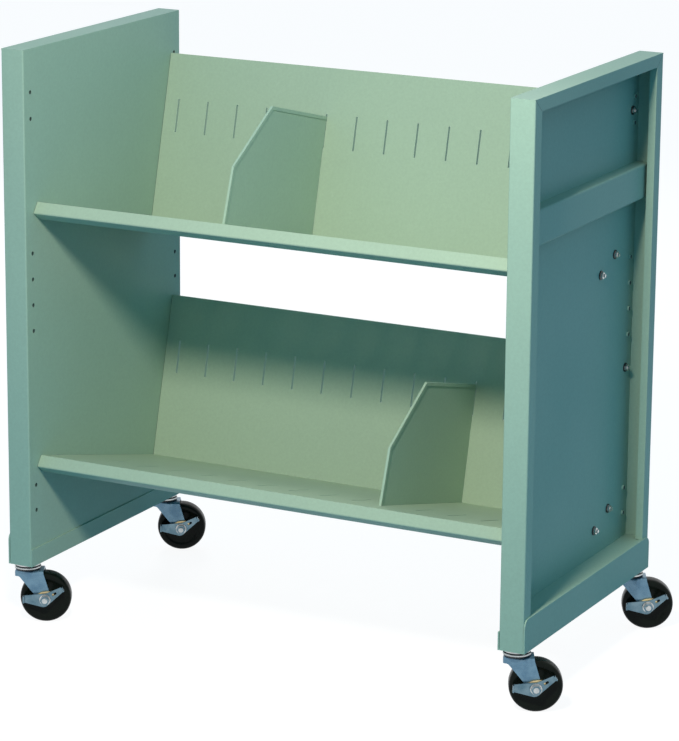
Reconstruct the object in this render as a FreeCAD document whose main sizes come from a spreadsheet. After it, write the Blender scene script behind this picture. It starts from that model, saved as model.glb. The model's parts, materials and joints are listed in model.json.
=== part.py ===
import FreeCAD, Part
import Sketcher
import math
import os

# File cart: two tall sheet metal ends on braked casters carry two tilted shelves.
# Each shelf has a slotted back square to it and one lift-off divider plate.
# X runs to the right, Y to the rear and Z up, in millimetres, with the floor at Z = 0.

os.makedirs("parts", exist_ok=True)
Vector = FreeCAD.Vector
doc = FreeCAD.newDocument("FileCart")
sheet = doc.addObject("Spreadsheet::Sheet", "Sizes")

SIZES = (
    # cart body
    ("cart_width", 826.0),
    ("cart_depth", 438.0),
    ("end_height", 762.0),
    ("end_thickness", 36.5),
    ("end_sheet", 1.2),
    ("lip_width", 21.5),
    ("top_lip_height", 18.0),
    ("lip_return", 11.0),
    ("return_notch", 47.0),
    ("end_bend", 2.0),
    # hole columns of the ends, heights above the underside of the base channels, drop from the top
    ("hole_radius", 3.0),
    ("hole_inset", 17.4),
    ("hole_pitch", 38.1),
    ("low_hole_height", 83.0),
    ("mid_hole_height", 352.1),
    ("top_hole_drop", 62.2),
    # mid rails
    ("rail_drop", 158.0),
    ("rail_height", 50.0),
    ("rail_depth", 20.0),
    ("rail_sheet", 1.5),
    ("rail_bend", 3.0),
    # base channels and the caster rails inside them
    ("base_sheet", 2.0),
    ("base_outer_wall", 48.0),
    ("base_inner_wall", 26.0),
    ("base_corner", 12.0),
    ("base_hem", 4.0),
    ("caster_rail_sheet", 3.0),
    ("caster_rail_height", 43.8),
    ("caster_rail_play", 0.2),
    # shelves and backs
    ("shelf_tilt", 14.0),
    ("shelf_depth", 330.0),
    ("shelf_sheet", 1.2),
    ("shelf_front_setback", 31.0),
    ("upper_front_drop", 222.5),
    ("lower_front_height", 163.0),
    ("side_gap", 0.8),
    ("shelf_lip_length", 18.6),
    ("shelf_lip_angle", 68.6),
    ("shelf_return_length", 19.4),
    ("shelf_return_angle", 20.5),
    ("shelf_nose_bend", 2.4),
    ("shelf_flange", 18.0),
    ("back_height", 248.0),
    ("back_flange", 22.0),
    # divider slots
    ("slot_pitch", 50.35),
    ("slot_margin", 20.0),
    ("slot_width", 2.6),
    ("back_slot_height", 129.4),
    ("back_slot_length", 50.4),
    ("shelf_slot_setback", 65.0),
    ("shelf_slot_length", 64.0),
    # dividers
    ("divider_sheet", 1.2),
    ("divider_hem", 3.5),
    ("divider_hem_width", 5.0),
    ("divider_front", 54.0),
    ("divider_kink_setback", 8.0),
    ("divider_kink_height", 82.0),
    ("divider_top_front", 157.0),
    ("divider_height", 176.0),
    ("divider_rear_gap", 1.5),
    ("divider_play", 0.1),
    ("tab_depth", 6.0),
    ("tab_length", 40.0),
    ("tab_slide", 20.0),
    ("upper_divider_index", -2),
    ("lower_divider_index", 3),
    # casters
    ("wheel_radius", 37.5),
    ("wheel_width", 26.0),
    ("wheel_face_radius", 34.0),
    ("tread_width", 19.0),
    ("caster_height", 89.0),
    ("caster_inset", 20.2),
    ("caster_trail", 26.3),
    ("caster_turn_angle", 26.9),
    ("race_radius", 19.5),
    ("race_height", 9.9),
    ("swivel_play", 0.1),
    ("fork_sheet", 2.5),
    ("fork_gap", 27.4),
    ("fork_front", 11.8),
    ("fork_nose", 19.0),
    ("fork_nose_width", 13.0),
    ("fork_skirt", 7.5),
    ("fork_rear", 24.0),
    ("fork_eye_front", 10.5),
    ("fork_eye_rear", 8.0),
    ("stem_radius", 5.0),
    ("stem_head_radius", 8.0),
    ("stem_head_height", 3.0),
    ("stem_nut_across_flats", 16.0),
    ("stem_nut_height", 8.0),
    ("stem_end", 3.0),
    ("stem_play", 0.3),
    ("axle_radius", 4.0),
    ("axle_head_across_flats", 13.0),
    ("axle_head_height", 5.0),
    ("axle_nut_height", 6.0),
    ("axle_end", 1.5),
    ("shaft_play", 0.05),
    ("press_play", 0.02),
    # brake
    ("cam_thickness", 3.2),
    ("cam_reach", 15.0),
    ("cam_width", 10.0),
    ("cam_drop", 9.0),
    ("cam_crest", 12.0),
    ("lever_sheet", 2.5),
    ("lever_drop", 11.0),
    ("lever_reach", 32.5),
    ("lever_crest", 9.0),
    ("lever_off_width", 10.5),
    ("lever_on_width", 7.0),
    ("lever_rise_angle", 1.8),
    ("lever_swing_angle", 31.0),
    ("lever_tab", 8.0),
)

VALUES = {}
for row, (alias, number) in enumerate(SIZES, start=1):
    sheet.set(f"A{row}", alias)
    sheet.set(f"B{row}", str(number))
    sheet.setAlias(f"B{row}", alias)
    VALUES[alias] = number
doc.recompute()


class Dim:
    """A number kept together with the sheet expression that gives it."""

    def __init__(self, value, text):
        self.value = float(value)
        self.text = text

    def __add__(self, other):
        other = dim(other)
        return Dim(self.value + other.value, f"({self.text} + {other.text})")

    def __sub__(self, other):
        other = dim(other)
        return Dim(self.value - other.value, f"({self.text} - {other.text})")

    def __mul__(self, other):
        other = dim(other)
        return Dim(self.value * other.value, f"({self.text} * {other.text})")

    def __truediv__(self, other):
        other = dim(other)
        return Dim(self.value / other.value, f"({self.text} / {other.text})")

    def __neg__(self):
        return Dim(-self.value, f"(0 - {self.text})")

    def __radd__(self, other):
        return dim(other) + self

    def __rsub__(self, other):
        return dim(other) - self

    def __rmul__(self, other):
        return dim(other) * self


def dim(number):
    if isinstance(number, Dim):
        return number
    if number < 0:
        return Dim(number, f"(0 - {-number})")
    return Dim(number, f"{number}")


def size(alias):
    return Dim(VALUES[alias], f"Sizes.{alias}")


def sine(angle):
    return Dim(math.sin(math.radians(angle.value)), f"sin({angle.text})")


def cosine(angle):
    return Dim(math.cos(math.radians(angle.value)), f"cos({angle.text})")


def whole(ratio):
    return Dim(math.floor(ratio.value), f"floor({ratio.text})")


def bind(thing, prop, length):
    thing.setExpression(prop, dim(length).text)


def place(thing, x, y, z, turn=0, axis=Vector(0, 0, 1)):
    """Puts a sub-part in its place, with each coordinate tied to the sheet."""
    x, y, z, turn = dim(x), dim(y), dim(z), dim(turn)
    rotation = FreeCAD.Rotation(axis, turn.value)
    thing.Placement = FreeCAD.Placement(Vector(x.value, y.value, z.value), rotation)
    bind(thing, "Placement.Base.x", x)
    bind(thing, "Placement.Base.y", y)
    bind(thing, "Placement.Base.z", z)
    if "Sizes" in turn.text:
        bind(thing, "Placement.Rotation.Angle", turn)


def new_body(label):
    body = doc.addObject("PartDesign::Body", label)
    body.Label = label
    return body


def new_sketch(body, name, plane, offset):
    offset = dim(offset)
    sketch = body.newObject("Sketcher::SketchObject", name)
    support = [item for item in body.Origin.OriginFeatures if item.Role == plane][0]
    sketch.AttachmentSupport = [(support, "")]
    sketch.MapMode = "FlatFace"
    sketch.AttachmentOffset = FreeCAD.Placement(Vector(0, 0, offset.value), FreeCAD.Rotation())
    bind(sketch, "AttachmentOffset.Base.z", offset)
    return sketch


def fix_point(sketch, geometry, point, x, y):
    for kind, length in (("DistanceX", dim(x)), ("DistanceY", dim(y))):
        index = sketch.addConstraint(Sketcher.Constraint(kind, geometry, point, length.value))
        bind(sketch, f"Constraints[{index}]", length)


def draw_outline(sketch, points):
    """Draws a closed outline of straight lines through the points."""
    first = sketch.GeometryCount
    count = len(points)
    corners = [Vector(dim(x).value, dim(y).value, 0) for x, y in points]
    for index in range(count):
        line = Part.LineSegment(corners[index], corners[(index + 1) % count])
        sketch.addGeometry(line)
    for index in range(count):
        after = first + (index + 1) % count
        sketch.addConstraint(Sketcher.Constraint("Coincident", first + index, 2, after, 1))
    for index, (x, y) in enumerate(points):
        fix_point(sketch, first + index, 1, x, y)


def draw_circle(sketch, x, y, radius):
    radius = dim(radius)
    centre = Vector(dim(x).value, dim(y).value, 0)
    index = sketch.addGeometry(Part.Circle(centre, Vector(0, 0, 1), radius.value))
    fix_point(sketch, index, 3, x, y)
    rule = sketch.addConstraint(Sketcher.Constraint("Radius", index, radius.value))
    bind(sketch, f"Constraints[{rule}]", radius)


def rectangle(left, right, bottom, top):
    return [(left, bottom), (right, bottom), (right, top), (left, top)]


def hexagon(across_flats):
    corner = size(across_flats) / math.sqrt(3)
    return [(corner * math.cos(math.radians(60 * k)), corner * math.sin(math.radians(60 * k)))
            for k in range(6)]


def add_pad(body, name, plane, offset, length, outlines=(), circles=()):
    """Adds material from the offset plane along that plane's normal."""
    sketch = new_sketch(body, name + "_sketch", plane, offset)
    for points in outlines:
        draw_outline(sketch, points)
    for circle in circles:
        draw_circle(sketch, *circle)
    pad = body.newObject("PartDesign::Pad", name)
    pad.Profile = sketch
    bind(pad, "Length", length)
    sketch.Visibility = False
    return pad


def add_cut(body, name, plane, middle, length, outlines=(), circles=()):
    """Cuts a length centred on the plane, and makes sure that it took material away."""
    doc.recompute()
    before = body.Shape.Volume
    sketch = new_sketch(body, name + "_sketch", plane, middle)
    for points in outlines:
        draw_outline(sketch, points)
    for circle in circles:
        draw_circle(sketch, *circle)
    pocket = body.newObject("PartDesign::Pocket", name)
    pocket.Profile = sketch
    pocket.SideType = "Symmetric"
    bind(pocket, "Length", length)
    sketch.Visibility = False
    doc.recompute()
    if body.Shape.Volume >= before:
        raise ValueError(f"{body.Label}: {name} cut nothing")
    return pocket, sketch


def add_row(body, name, original, sketch, pitch, count):
    pattern = body.newObject("PartDesign::LinearPattern", name)
    pattern.Originals = [original]
    pattern.Direction = (sketch, ["H_Axis"])
    bind(pattern, "Length", pitch * (count - 1))
    bind(pattern, "Occurrences", count)
    body.Tip = pattern
    return pattern


def add_fillet(body, name, radius, wanted):
    """Rounds the edges that the test picks."""
    doc.recompute()
    base = body.Tip
    edges = [f"Edge{k}" for k, edge in enumerate(base.Shape.Edges, start=1) if wanted(edge)]
    if not edges:
        raise ValueError(f"{body.Label}: {name} found no edge")
    fillet = body.newObject("PartDesign::Fillet", name)
    fillet.Base = (base, edges)
    bind(fillet, "Radius", radius)
    return fillet


def edge_test(direction, **fixed):
    """Makes a test for straight edges along one axis that pass through fixed coordinates."""
    def wanted(edge):
        if len(edge.Vertexes) != 2:
            return False
        start, end = edge.Vertexes[0].Point, edge.Vertexes[1].Point
        run = end - start
        if run.Length < 1e-6 or abs(abs(getattr(run, direction)) - run.Length) > 1e-6:
            return False
        middle = (start + end) * 0.5
        return all(any(abs(getattr(middle, axis) - dim(value).value) < 1e-4 for value in values)
                   for axis, values in fixed.items())
    return wanted


# lengths that several pieces share
half_depth = size("cart_depth") / 2
inner_half = size("cart_width") / 2 - size("end_thickness")
half_run = inner_half - size("side_gap")
slot_steps = whole((half_run - size("slot_margin")) / size("slot_pitch"))
axle_height = size("wheel_radius") - size("caster_height")
caster_side = size("cart_width") / 2 - size("end_thickness") / 2
caster_along = half_depth - size("caster_inset")
turn_sine = sine(size("caster_turn_angle"))
turn_cosine = cosine(size("caster_turn_angle"))
fork_inside = size("fork_gap") / 2
fork_outside = fork_inside + size("fork_sheet")
cam_inside = fork_outside + size("swivel_play")
lever_inside = cam_inside + size("cam_thickness")
nut_inside = lever_inside + size("lever_sheet") + size("swivel_play")

# the origin is at the middle of the footprint, which the turned casters widen
wheel_run = size("caster_trail") + size("wheel_radius")
right_end = caster_side + wheel_run * turn_cosine + size("wheel_width") / 2 * turn_sine
left_end = size("cart_width") / 2 + size("base_sheet")
rear_end = caster_along + wheel_run * turn_sine + size("wheel_width") / 2 * turn_cosine
lever_front = (lever_inside + size("lever_tab")) * turn_cosine
lever_front = lever_front + (size("lever_reach") - size("caster_trail")) * turn_sine
front_end = caster_along + lever_front
centre_x = (right_end - left_end) / 2
centre_y = (rear_end - front_end) / 2

SIDES = (("right", 1), ("left", -1))
UNITS = (("upper", 0), ("lower", 1))


def unit_height(level):
    """Gives the height of a shelf's front edge above the underside of the base channels."""
    if level == 0:
        return size("end_height") - size("upper_front_drop")
    return size("lower_front_height")


def shelf_point(level, along, above):
    """Gives depth from the middle and height of a point that is set out on a tilted shelf."""
    lean, rise = sine(size("shelf_tilt")), cosine(size("shelf_tilt"))
    depth = size("shelf_front_setback") - half_depth + along * rise + above * lean
    return depth, unit_height(level) - along * lean + above * rise


def place_at_side(body, sign):
    """Puts an end piece, drawn outwards from the inner face, at its side of the cart."""
    turn = 0 if sign > 0 else 180
    place(body, inner_half * sign - centre_x, -centre_y, size("caster_height"), turn)


def make_end_panel(side, sign):
    """Tray-shaped sheet end: web inside, flanges all round, lips with inward returns."""
    body = new_body(f"{side}_end_panel")
    far = size("end_thickness")
    gauge = size("end_sheet")
    lip = half_depth - size("lip_width")
    back_in = far - size("lip_return")
    front_half = [
        (dim(0), -half_depth), (far, -half_depth), (far, -lip), (back_in, -lip),
        (back_in, -lip - gauge), (far - gauge, -lip - gauge),
        (far - gauge, -half_depth + gauge), (gauge, -half_depth + gauge),
    ]
    rear_half = [(x, -y) for x, y in reversed(front_half)]
    add_pad(body, "section", "XY_Plane", size("base_sheet"),
            size("end_height") - size("base_sheet"), [front_half + rear_half])
    add_pad(body, "top", "XY_Plane", size("end_height") - gauge, gauge,
            [rectangle(dim(0), far, -half_depth, half_depth)])
    add_pad(body, "top_lip", "XY_Plane", size("end_height") - size("top_lip_height"),
            size("top_lip_height"), [rectangle(far - gauge, far, -half_depth, half_depth)])
    notch = [rectangle(back_in - gauge, far - gauge, y - gauge * 2, y + gauge * 2)
             for y in (-lip, lip)]
    add_cut(body, "return_notches", "XY_Plane", size("base_sheet"),
            (size("return_notch") - size("base_sheet")) * 2, notch)
    top_pair = size("end_height") - size("top_hole_drop") - size("hole_pitch")
    groups = ((size("low_hole_height"), 2), (size("mid_hole_height"), 4), (top_pair, 2))
    holes = []
    for y in (-half_depth + size("hole_inset"), half_depth - size("hole_inset")):
        for start, count in groups:
            for step in range(count):
                holes.append((y, start + size("hole_pitch") * step, size("hole_radius")))
    add_cut(body, "holes", "YZ_Plane", 0, gauge * 4, (), holes)
    corner = edge_test("z", x=[0, far], y=[-half_depth, half_depth])
    add_fillet(body, "upright_bends", size("end_bend"), corner)
    place_at_side(body, sign)
    return body


def make_mid_rail(side, sign):
    """Stiffening channel on the outer side of the web, open towards it."""
    body = new_body(f"{side}_mid_rail")
    near = size("end_sheet")
    far = near + size("rail_depth")
    high = size("end_height") - size("rail_drop")
    low = high - size("rail_height")
    wall = size("rail_sheet")
    run = (half_depth - size("end_sheet")) * 2
    section = [
        (near, low), (far, low), (far, high), (near, high),
        (near, high - wall), (far - wall, high - wall), (far - wall, low + wall), (near, low + wall),
    ]
    add_pad(body, "section", "XZ_Plane", -run / 2, run, [section])
    add_fillet(body, "bends", size("rail_bend"), edge_test("y", x=[far], z=[low, high]))
    place_at_side(body, sign)
    return body


def make_base_channel(side, sign):
    """Channel that clasps the foot of the end, with a hemmed and rounded outer wall."""
    body = new_body(f"{side}_base_channel")
    wall = size("base_sheet")
    far = size("end_thickness")
    high = size("base_outer_wall")
    section = [
        (-wall, dim(0)), (far + wall, dim(0)), (far + wall, high), (far, high),
        (far, wall), (dim(0), wall), (dim(0), size("base_inner_wall")), (-wall, size("base_inner_wall")),
    ]
    add_pad(body, "section", "XZ_Plane", -half_depth, size("cart_depth"), [section])
    hem = half_depth - size("lip_width") - size("caster_rail_play")
    add_pad(body, "hem", "XY_Plane", high - wall, wall,
            [rectangle(far - size("base_hem"), far + wall / 2, -hem, hem)])
    stems = [(far / 2, y, size("stem_radius") + size("stem_play"))
             for y in (-caster_along, caster_along)]
    add_cut(body, "stem_holes", "XY_Plane", 0, wall * 4, (), stems)
    corner = edge_test("x", y=[-half_depth, half_depth], z=[high])
    add_fillet(body, "corners", size("base_corner"), corner)
    place_at_side(body, sign)
    return body


def make_caster_rail(side, sign):
    """Stiff upturned channel that closes the foot of the end over the caster nuts."""
    body = new_body(f"{side}_caster_rail")
    play = size("caster_rail_play")
    wall = size("caster_rail_sheet")
    near = size("end_sheet")
    far = size("end_thickness") - size("end_sheet") - play
    low = size("base_sheet")
    top = low + size("caster_rail_height")
    section = [
        (near, low), (near + wall, low), (near + wall, top - wall), (far - wall, top - wall),
        (far - wall, low), (far, low), (far, top), (near, top),
    ]
    run = (half_depth - size("end_sheet") - play) * 2
    add_pad(body, "section", "XZ_Plane", -run / 2, run, [section])
    place_at_side(body, sign)
    return body


def place_on_shelf(body, level, x=0):
    """Puts a piece that is drawn along the shelf surface, with its origin at the lip top."""
    y = size("shelf_front_setback") - half_depth - centre_y
    z = unit_height(level) + size("caster_height")
    place(body, dim(x) - centre_x, y, z, size("shelf_tilt"), Vector(-1, 0, 0))


def offset_corner(corner, before, after, gauge):
    """Moves a corner to the inner skin of a bent sheet, given the two travel angles."""
    turn = cosine(after - before) + 1
    x, y = corner
    return (x - gauge * (sine(before) + sine(after)) / turn,
            y + gauge * (cosine(before) + cosine(after)) / turn)


def make_shelf(unit, level):
    """Tilted pan with an angled front lip, its return, a rear flange and end flanges."""
    body = new_body(f"{unit}_shelf")
    deep = size("shelf_depth")
    gauge = size("shelf_sheet")
    drop = size("shelf_flange")
    lip_turn = size("shelf_lip_angle") + 180
    return_turn = -size("shelf_return_angle")
    nose = (cosine(lip_turn) * size("shelf_lip_length"), sine(lip_turn) * size("shelf_lip_length"))
    heel = (nose[0] + cosine(return_turn) * size("shelf_return_length"),
            nose[1] + sine(return_turn) * size("shelf_return_length"))
    heel_in = (heel[0] - sine(return_turn) * gauge, heel[1] + cosine(return_turn) * gauge)
    section = [
        (deep, -drop), (deep, dim(0)), (dim(0), dim(0)), nose, heel, heel_in,
        offset_corner(nose, lip_turn, return_turn, gauge),
        offset_corner((dim(0), dim(0)), dim(180), lip_turn, gauge),
        (deep - gauge, -gauge), (deep - gauge, -drop),
    ]
    add_pad(body, "section", "YZ_Plane", -half_run, half_run * 2, [section])
    for name, edge in (("right_flange", half_run - gauge), ("left_flange", -half_run)):
        add_pad(body, name, "YZ_Plane", edge, gauge, [rectangle(gauge, deep, -drop, dim(0))])
    start = -size("slot_pitch") * slot_steps
    width = size("slot_width") / 2
    front = size("shelf_slot_setback")
    slot, sketch = add_cut(
        body, "slot", "XY_Plane", 0, gauge * 4,
        [rectangle(start - width, start + width, front, front + size("shelf_slot_length"))])
    add_row(body, "slots", slot, sketch, size("slot_pitch"), slot_steps * 2 + 1)
    add_fillet(body, "nose", size("shelf_nose_bend"),
               edge_test("x", y=[nose[0]], z=[nose[1]]))
    place_on_shelf(body, level)
    return body


def make_back(unit, level):
    """Back plate square to the shelf, with top and end flanges and upright slots."""
    body = new_body(f"{unit}_back")
    near = size("shelf_depth")
    gauge = size("shelf_sheet")
    far = near + size("back_flange")
    top = size("back_height")
    low = -size("shelf_flange")
    section = [(near, low), (near + gauge, low), (near + gauge, top - gauge),
               (far, top - gauge), (far, top), (near, top)]
    add_pad(body, "section", "YZ_Plane", -half_run, half_run * 2, [section])
    for name, edge in (("right_flange", half_run - gauge), ("left_flange", -half_run)):
        add_pad(body, name, "YZ_Plane", edge, gauge, [rectangle(near, far, low, top)])
    start = -size("slot_pitch") * slot_steps
    width = size("slot_width") / 2
    foot = size("back_slot_height")
    slot, sketch = add_cut(
        body, "slot", "XZ_Plane", -near, gauge * 4,
        [rectangle(start - width, start + width, foot, foot + size("back_slot_length"))])
    add_row(body, "slots", slot, sketch, size("slot_pitch"), slot_steps * 2 + 1)
    place_on_shelf(body, level)
    return body


def make_divider(unit, level):
    """Upright plate with a hemmed front edge and tabs for the shelf and back slots."""
    body = new_body(f"{unit}_divider")
    low = size("divider_play")
    rear = size("shelf_depth") - size("divider_rear_gap")
    tip = size("shelf_depth") + size("tab_depth")
    front = size("divider_front")
    kink = front + size("divider_kink_setback")
    top = size("divider_height")
    foot = size("back_slot_height") + size("divider_rear_gap") * 2
    head = top - size("divider_hem")
    tab = size("shelf_slot_setback") + size("tab_slide")
    outline = [
        (front, low), (tab, low), (tab, -size("tab_depth")),
        (tab + size("tab_length"), -size("tab_depth")), (tab + size("tab_length"), low),
        (rear, low), (rear, foot), (tip, foot), (tip, head), (rear, head), (rear, top),
        (size("divider_top_front"), top), (kink, size("divider_kink_height")),
    ]
    add_pad(body, "plate", "YZ_Plane", -size("divider_sheet") / 2, size("divider_sheet"), [outline])
    hem = size("divider_hem_width")
    band = [
        (front, low), (front + hem, low),
        (kink + hem, size("divider_kink_height") - hem / 2),
        (size("divider_top_front") + hem / 2, top - hem), (rear, top - hem), (rear, top),
        (size("divider_top_front"), top), (kink, size("divider_kink_height")),
    ]
    add_pad(body, "hem", "YZ_Plane", -size("divider_hem") / 2, size("divider_hem"), [band])
    place_on_shelf(body, level, size("slot_pitch") * size(f"{unit}_divider_index"))
    return body


def put_cylinder(name, radius, length, x, y, z, turn=0, axis=Vector(0, 1, 0)):
    rod = doc.addObject("Part::Cylinder", name)
    bind(rod, "Radius", radius)
    bind(rod, "Height", length)
    place(rod, x, y, z, turn, axis)
    return rod


def put_nut(name, across_flats, bore, height, x, y, z, turn=0, axis=Vector(0, 1, 0)):
    """Hexagon nut with its seat at the given point and its height along the turned Z."""
    block = doc.addObject("Part::Prism", name + "_block")
    block.Polygon = 6
    bind(block, "Circumradius", size(across_flats) / math.sqrt(3))
    bind(block, "Height", height)
    place(block, x, y, z, turn, axis)
    hole = put_cylinder(name + "_bore", bore, height, x, y, z, turn, axis)
    nut = doc.addObject("Part::Cut", name)
    nut.Base = block
    nut.Tool = hole
    return nut


def gather(label, pieces):
    group = doc.addObject("Part::MultiFuse", label)
    group.Shapes = pieces
    group.Label = label
    return group


CASTERS = (("front_left", -1, -1), ("front_right", 1, -1), ("rear_left", -1, 1), ("rear_right", 1, 1))


def caster_point(across, along, trail=0):
    """Gives the swivel axis of a caster, or a point on its trail behind that axis."""
    x = caster_side * across + turn_cosine * trail - centre_x
    y = caster_along * along + turn_sine * trail - centre_y
    return x, y


def make_stems():
    """Caster stems with their bottom heads, and the nuts inside the base channels."""
    stems, nuts = [], []
    crown = size("race_height") + size("fork_sheet") + size("swivel_play") * 2
    seat = size("base_sheet")
    top = seat + size("stem_nut_height") + size("stem_end")
    for name, across, along in CASTERS:
        x, y = caster_point(across, along)
        low = size("caster_height") - crown
        stems.append(put_cylinder(name + "_shank", size("stem_radius"), top + crown, x, y, low))
        stems.append(put_cylinder(name + "_head", size("stem_head_radius"), size("stem_head_height"),
                                  x, y, low - size("stem_head_height")))
        nuts.append(put_nut(name + "_nut", "stem_nut_across_flats",
                            size("stem_radius") + size("press_play"), size("stem_nut_height"),
                            x, y, size("caster_height") + seat))
    return gather("caster_stems", stems), gather("caster_nuts", nuts)


def make_swivel_races():
    """Closed ball race above each fork, bored for the stem."""
    races = []
    height = size("race_height")
    for name, across, along in CASTERS:
        x, y = caster_point(across, along)
        low = size("caster_height") - height
        race = doc.addObject("Part::Cut", name + "_race")
        race.Base = put_cylinder(name + "_drum", size("race_radius"), height, x, y, low)
        race.Tool = put_cylinder(name + "_race_bore", size("stem_radius") + size("press_play"),
                                 height, x, y, low)
        races.append(race)
    return gather("swivel_races", races)


def place_at_swivel(body, across, along):
    x, y = caster_point(across, along)
    place(body, x, y, size("caster_height"), size("caster_turn_angle"))


def place_at_axle(body, across, along):
    x, y = caster_point(across, along, size("caster_trail"))
    place(body, x, y, size("wheel_radius"), size("caster_turn_angle"))


def make_fork(name, across, along):
    """Pressed fork: a crown with a skirt round its nose, and two legs that taper to the axle."""
    body = new_body(f"{name}_fork")
    gauge = size("fork_sheet")
    crown_top = -size("race_height") - size("swivel_play")
    crown_low = crown_top - gauge
    front, rear, nose = size("fork_front"), size("fork_rear"), size("fork_nose")
    nose_half = size("fork_nose_width") / 2
    nose_edge = [(-front, fork_outside), (-nose, nose_half), (-nose, -nose_half), (-front, -fork_outside)]
    nose_inside = [(-front, -fork_inside), (-nose + gauge, -nose_half + gauge / 2),
                   (-nose + gauge, nose_half - gauge / 2), (-front, fork_inside)]
    add_pad(body, "crown", "XY_Plane", crown_low, gauge,
            [nose_edge + [(rear, -fork_outside), (rear, fork_outside)]])
    skirt = size("fork_skirt")
    add_pad(body, "skirt", "XY_Plane", crown_low - skirt, skirt, [nose_edge + nose_inside])
    add_cut(body, "stem_bore", "XY_Plane", crown_top, gauge * 4, (),
            [(dim(0), dim(0), size("stem_radius") + size("shaft_play"))])
    toe, heel = size("fork_eye_front"), size("fork_eye_rear")
    trail = size("caster_trail")
    leg = [(-front, crown_top), (-front, crown_low - skirt), (trail - toe, axle_height),
           (trail - heel / 2, axle_height - heel), (trail + heel / 2, axle_height - heel),
           (trail + heel, axle_height), (rear, crown_low), (rear, crown_top)]
    for side, start in (("near", fork_inside), ("far", -fork_outside)):
        add_pad(body, side + "_leg", "XZ_Plane", start, gauge, [leg])
    add_cut(body, "axle_holes", "XZ_Plane", 0, fork_outside * 2 + gauge, (),
            [(trail, axle_height, size("axle_radius") + size("press_play"))])
    place_at_swivel(body, across, along)
    return body


def make_wheel(name, across, along):
    """Solid wheel with flat faces and a chamfered tread, bored for the axle."""
    body = new_body(f"{name}_wheel")
    upper = [
        (size("axle_radius") + size("shaft_play"), size("wheel_width") / 2),
        (size("wheel_face_radius"), size("wheel_width") / 2),
        (size("wheel_radius"), size("tread_width") / 2),
    ]
    lower = [(x, -y) for x, y in reversed(upper)]
    sketch = new_sketch(body, "profile", "XY_Plane", 0)
    draw_outline(sketch, upper + lower)
    spin = body.newObject("PartDesign::Revolution", "turned")
    spin.Profile = sketch
    spin.ReferenceAxis = (sketch, ["V_Axis"])
    spin.Angle = 360
    place_at_axle(body, across, along)
    return body


def make_axle_bolt(name, across, along):
    """Axle bolt with its hexagon head on the far leg and its nut outside the brake lever."""
    body = new_body(f"{name}_axle_bolt")
    end = nut_inside + size("axle_nut_height") + size("axle_end")
    add_pad(body, "shank", "XZ_Plane", -fork_outside, end + fork_outside, (),
            [(dim(0), dim(0), size("axle_radius"))])
    add_pad(body, "head", "XZ_Plane", -fork_outside - size("axle_head_height"),
            size("axle_head_height"), [hexagon("axle_head_across_flats")])
    add_pad(body, "nut", "XZ_Plane", nut_inside, size("axle_nut_height"),
            [hexagon("axle_head_across_flats")])
    place_at_axle(body, across, along)
    return body


def arm_point(rise, out, up, mirror):
    """Sets out a point along and across a lever arm that climbs at the given angle."""
    x = cosine(rise) * out - sine(rise) * up
    return x * mirror, sine(rise) * out + cosine(rise) * up


def v_outline(reach, off_width, on_width, drop, crest):
    """Outlines a V with one arm at the lever's rise and the other further up by its swing."""
    off_rise = size("lever_rise_angle")
    on_rise = off_rise + size("lever_swing_angle")
    return [
        (-drop / 2, -drop), (drop / 2, -drop),
        arm_point(on_rise, reach, -on_width / 2, 1), arm_point(on_rise, reach, on_width / 2, 1),
        (dim(0), crest),
        arm_point(off_rise, reach, off_width / 2, -1), arm_point(off_rise, reach, -off_width / 2, -1),
    ]


def make_brake_lever(name, across, along):
    """V-shaped lever on the axle, with an outward tab at each end to press with a foot."""
    body = new_body(f"{name}_brake_lever")
    gauge = size("lever_sheet")
    reach = size("lever_reach")
    off_width, on_width = size("lever_off_width"), size("lever_on_width")
    add_pad(body, "plate", "XZ_Plane", lever_inside, gauge,
            [v_outline(reach, off_width, on_width, size("lever_drop"), size("lever_crest"))])
    off_rise = size("lever_rise_angle")
    arms = (("off_tab", off_rise, off_width / 2, -1),
            ("on_tab", off_rise + size("lever_swing_angle"), on_width / 2, 1))
    for arm, rise, half, mirror in arms:
        tab = [arm_point(rise, out, up, mirror)
               for out, up in ((reach - gauge, -half), (reach, -half), (reach, half), (reach - gauge, half))]
        add_pad(body, arm, "XZ_Plane", lever_inside, size("lever_tab"), [tab])
    add_cut(body, "bore", "XZ_Plane", lever_inside, gauge * 4, (),
            [(dim(0), dim(0), size("axle_radius") + size("shaft_play"))])
    place_at_axle(body, across, along)
    return body


def make_brake_cam(name, across, along):
    """Cam plate between the fork leg and the lever, with a lobe behind each arm."""
    body = new_body(f"{name}_brake_cam")
    thick = size("cam_thickness")
    add_pad(body, "plate", "XZ_Plane", cam_inside, thick,
            [v_outline(size("cam_reach"), size("cam_width"), size("cam_width"), size("cam_drop"),
                       size("cam_crest"))])
    add_cut(body, "bore", "XZ_Plane", cam_inside, thick * 4, (),
            [(dim(0), dim(0), size("axle_radius") + size("shaft_play"))])
    place_at_axle(body, across, along)
    return body


parts = []
for side, sign in SIDES:
    parts.append(make_end_panel(side, sign))
    parts.append(make_mid_rail(side, sign))
    parts.append(make_base_channel(side, sign))
    parts.append(make_caster_rail(side, sign))
for unit, level in UNITS:
    parts.append(make_shelf(unit, level))
    parts.append(make_back(unit, level))
    parts.append(make_divider(unit, level))
parts.extend(make_stems())
parts.append(make_swivel_races())
for name, across, along in CASTERS:
    parts.append(make_fork(name, across, along))
    parts.append(make_wheel(name, across, along))
    parts.append(make_axle_bolt(name, across, along))
    parts.append(make_brake_lever(name, across, along))
    parts.append(make_brake_cam(name, across, along))

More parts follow.
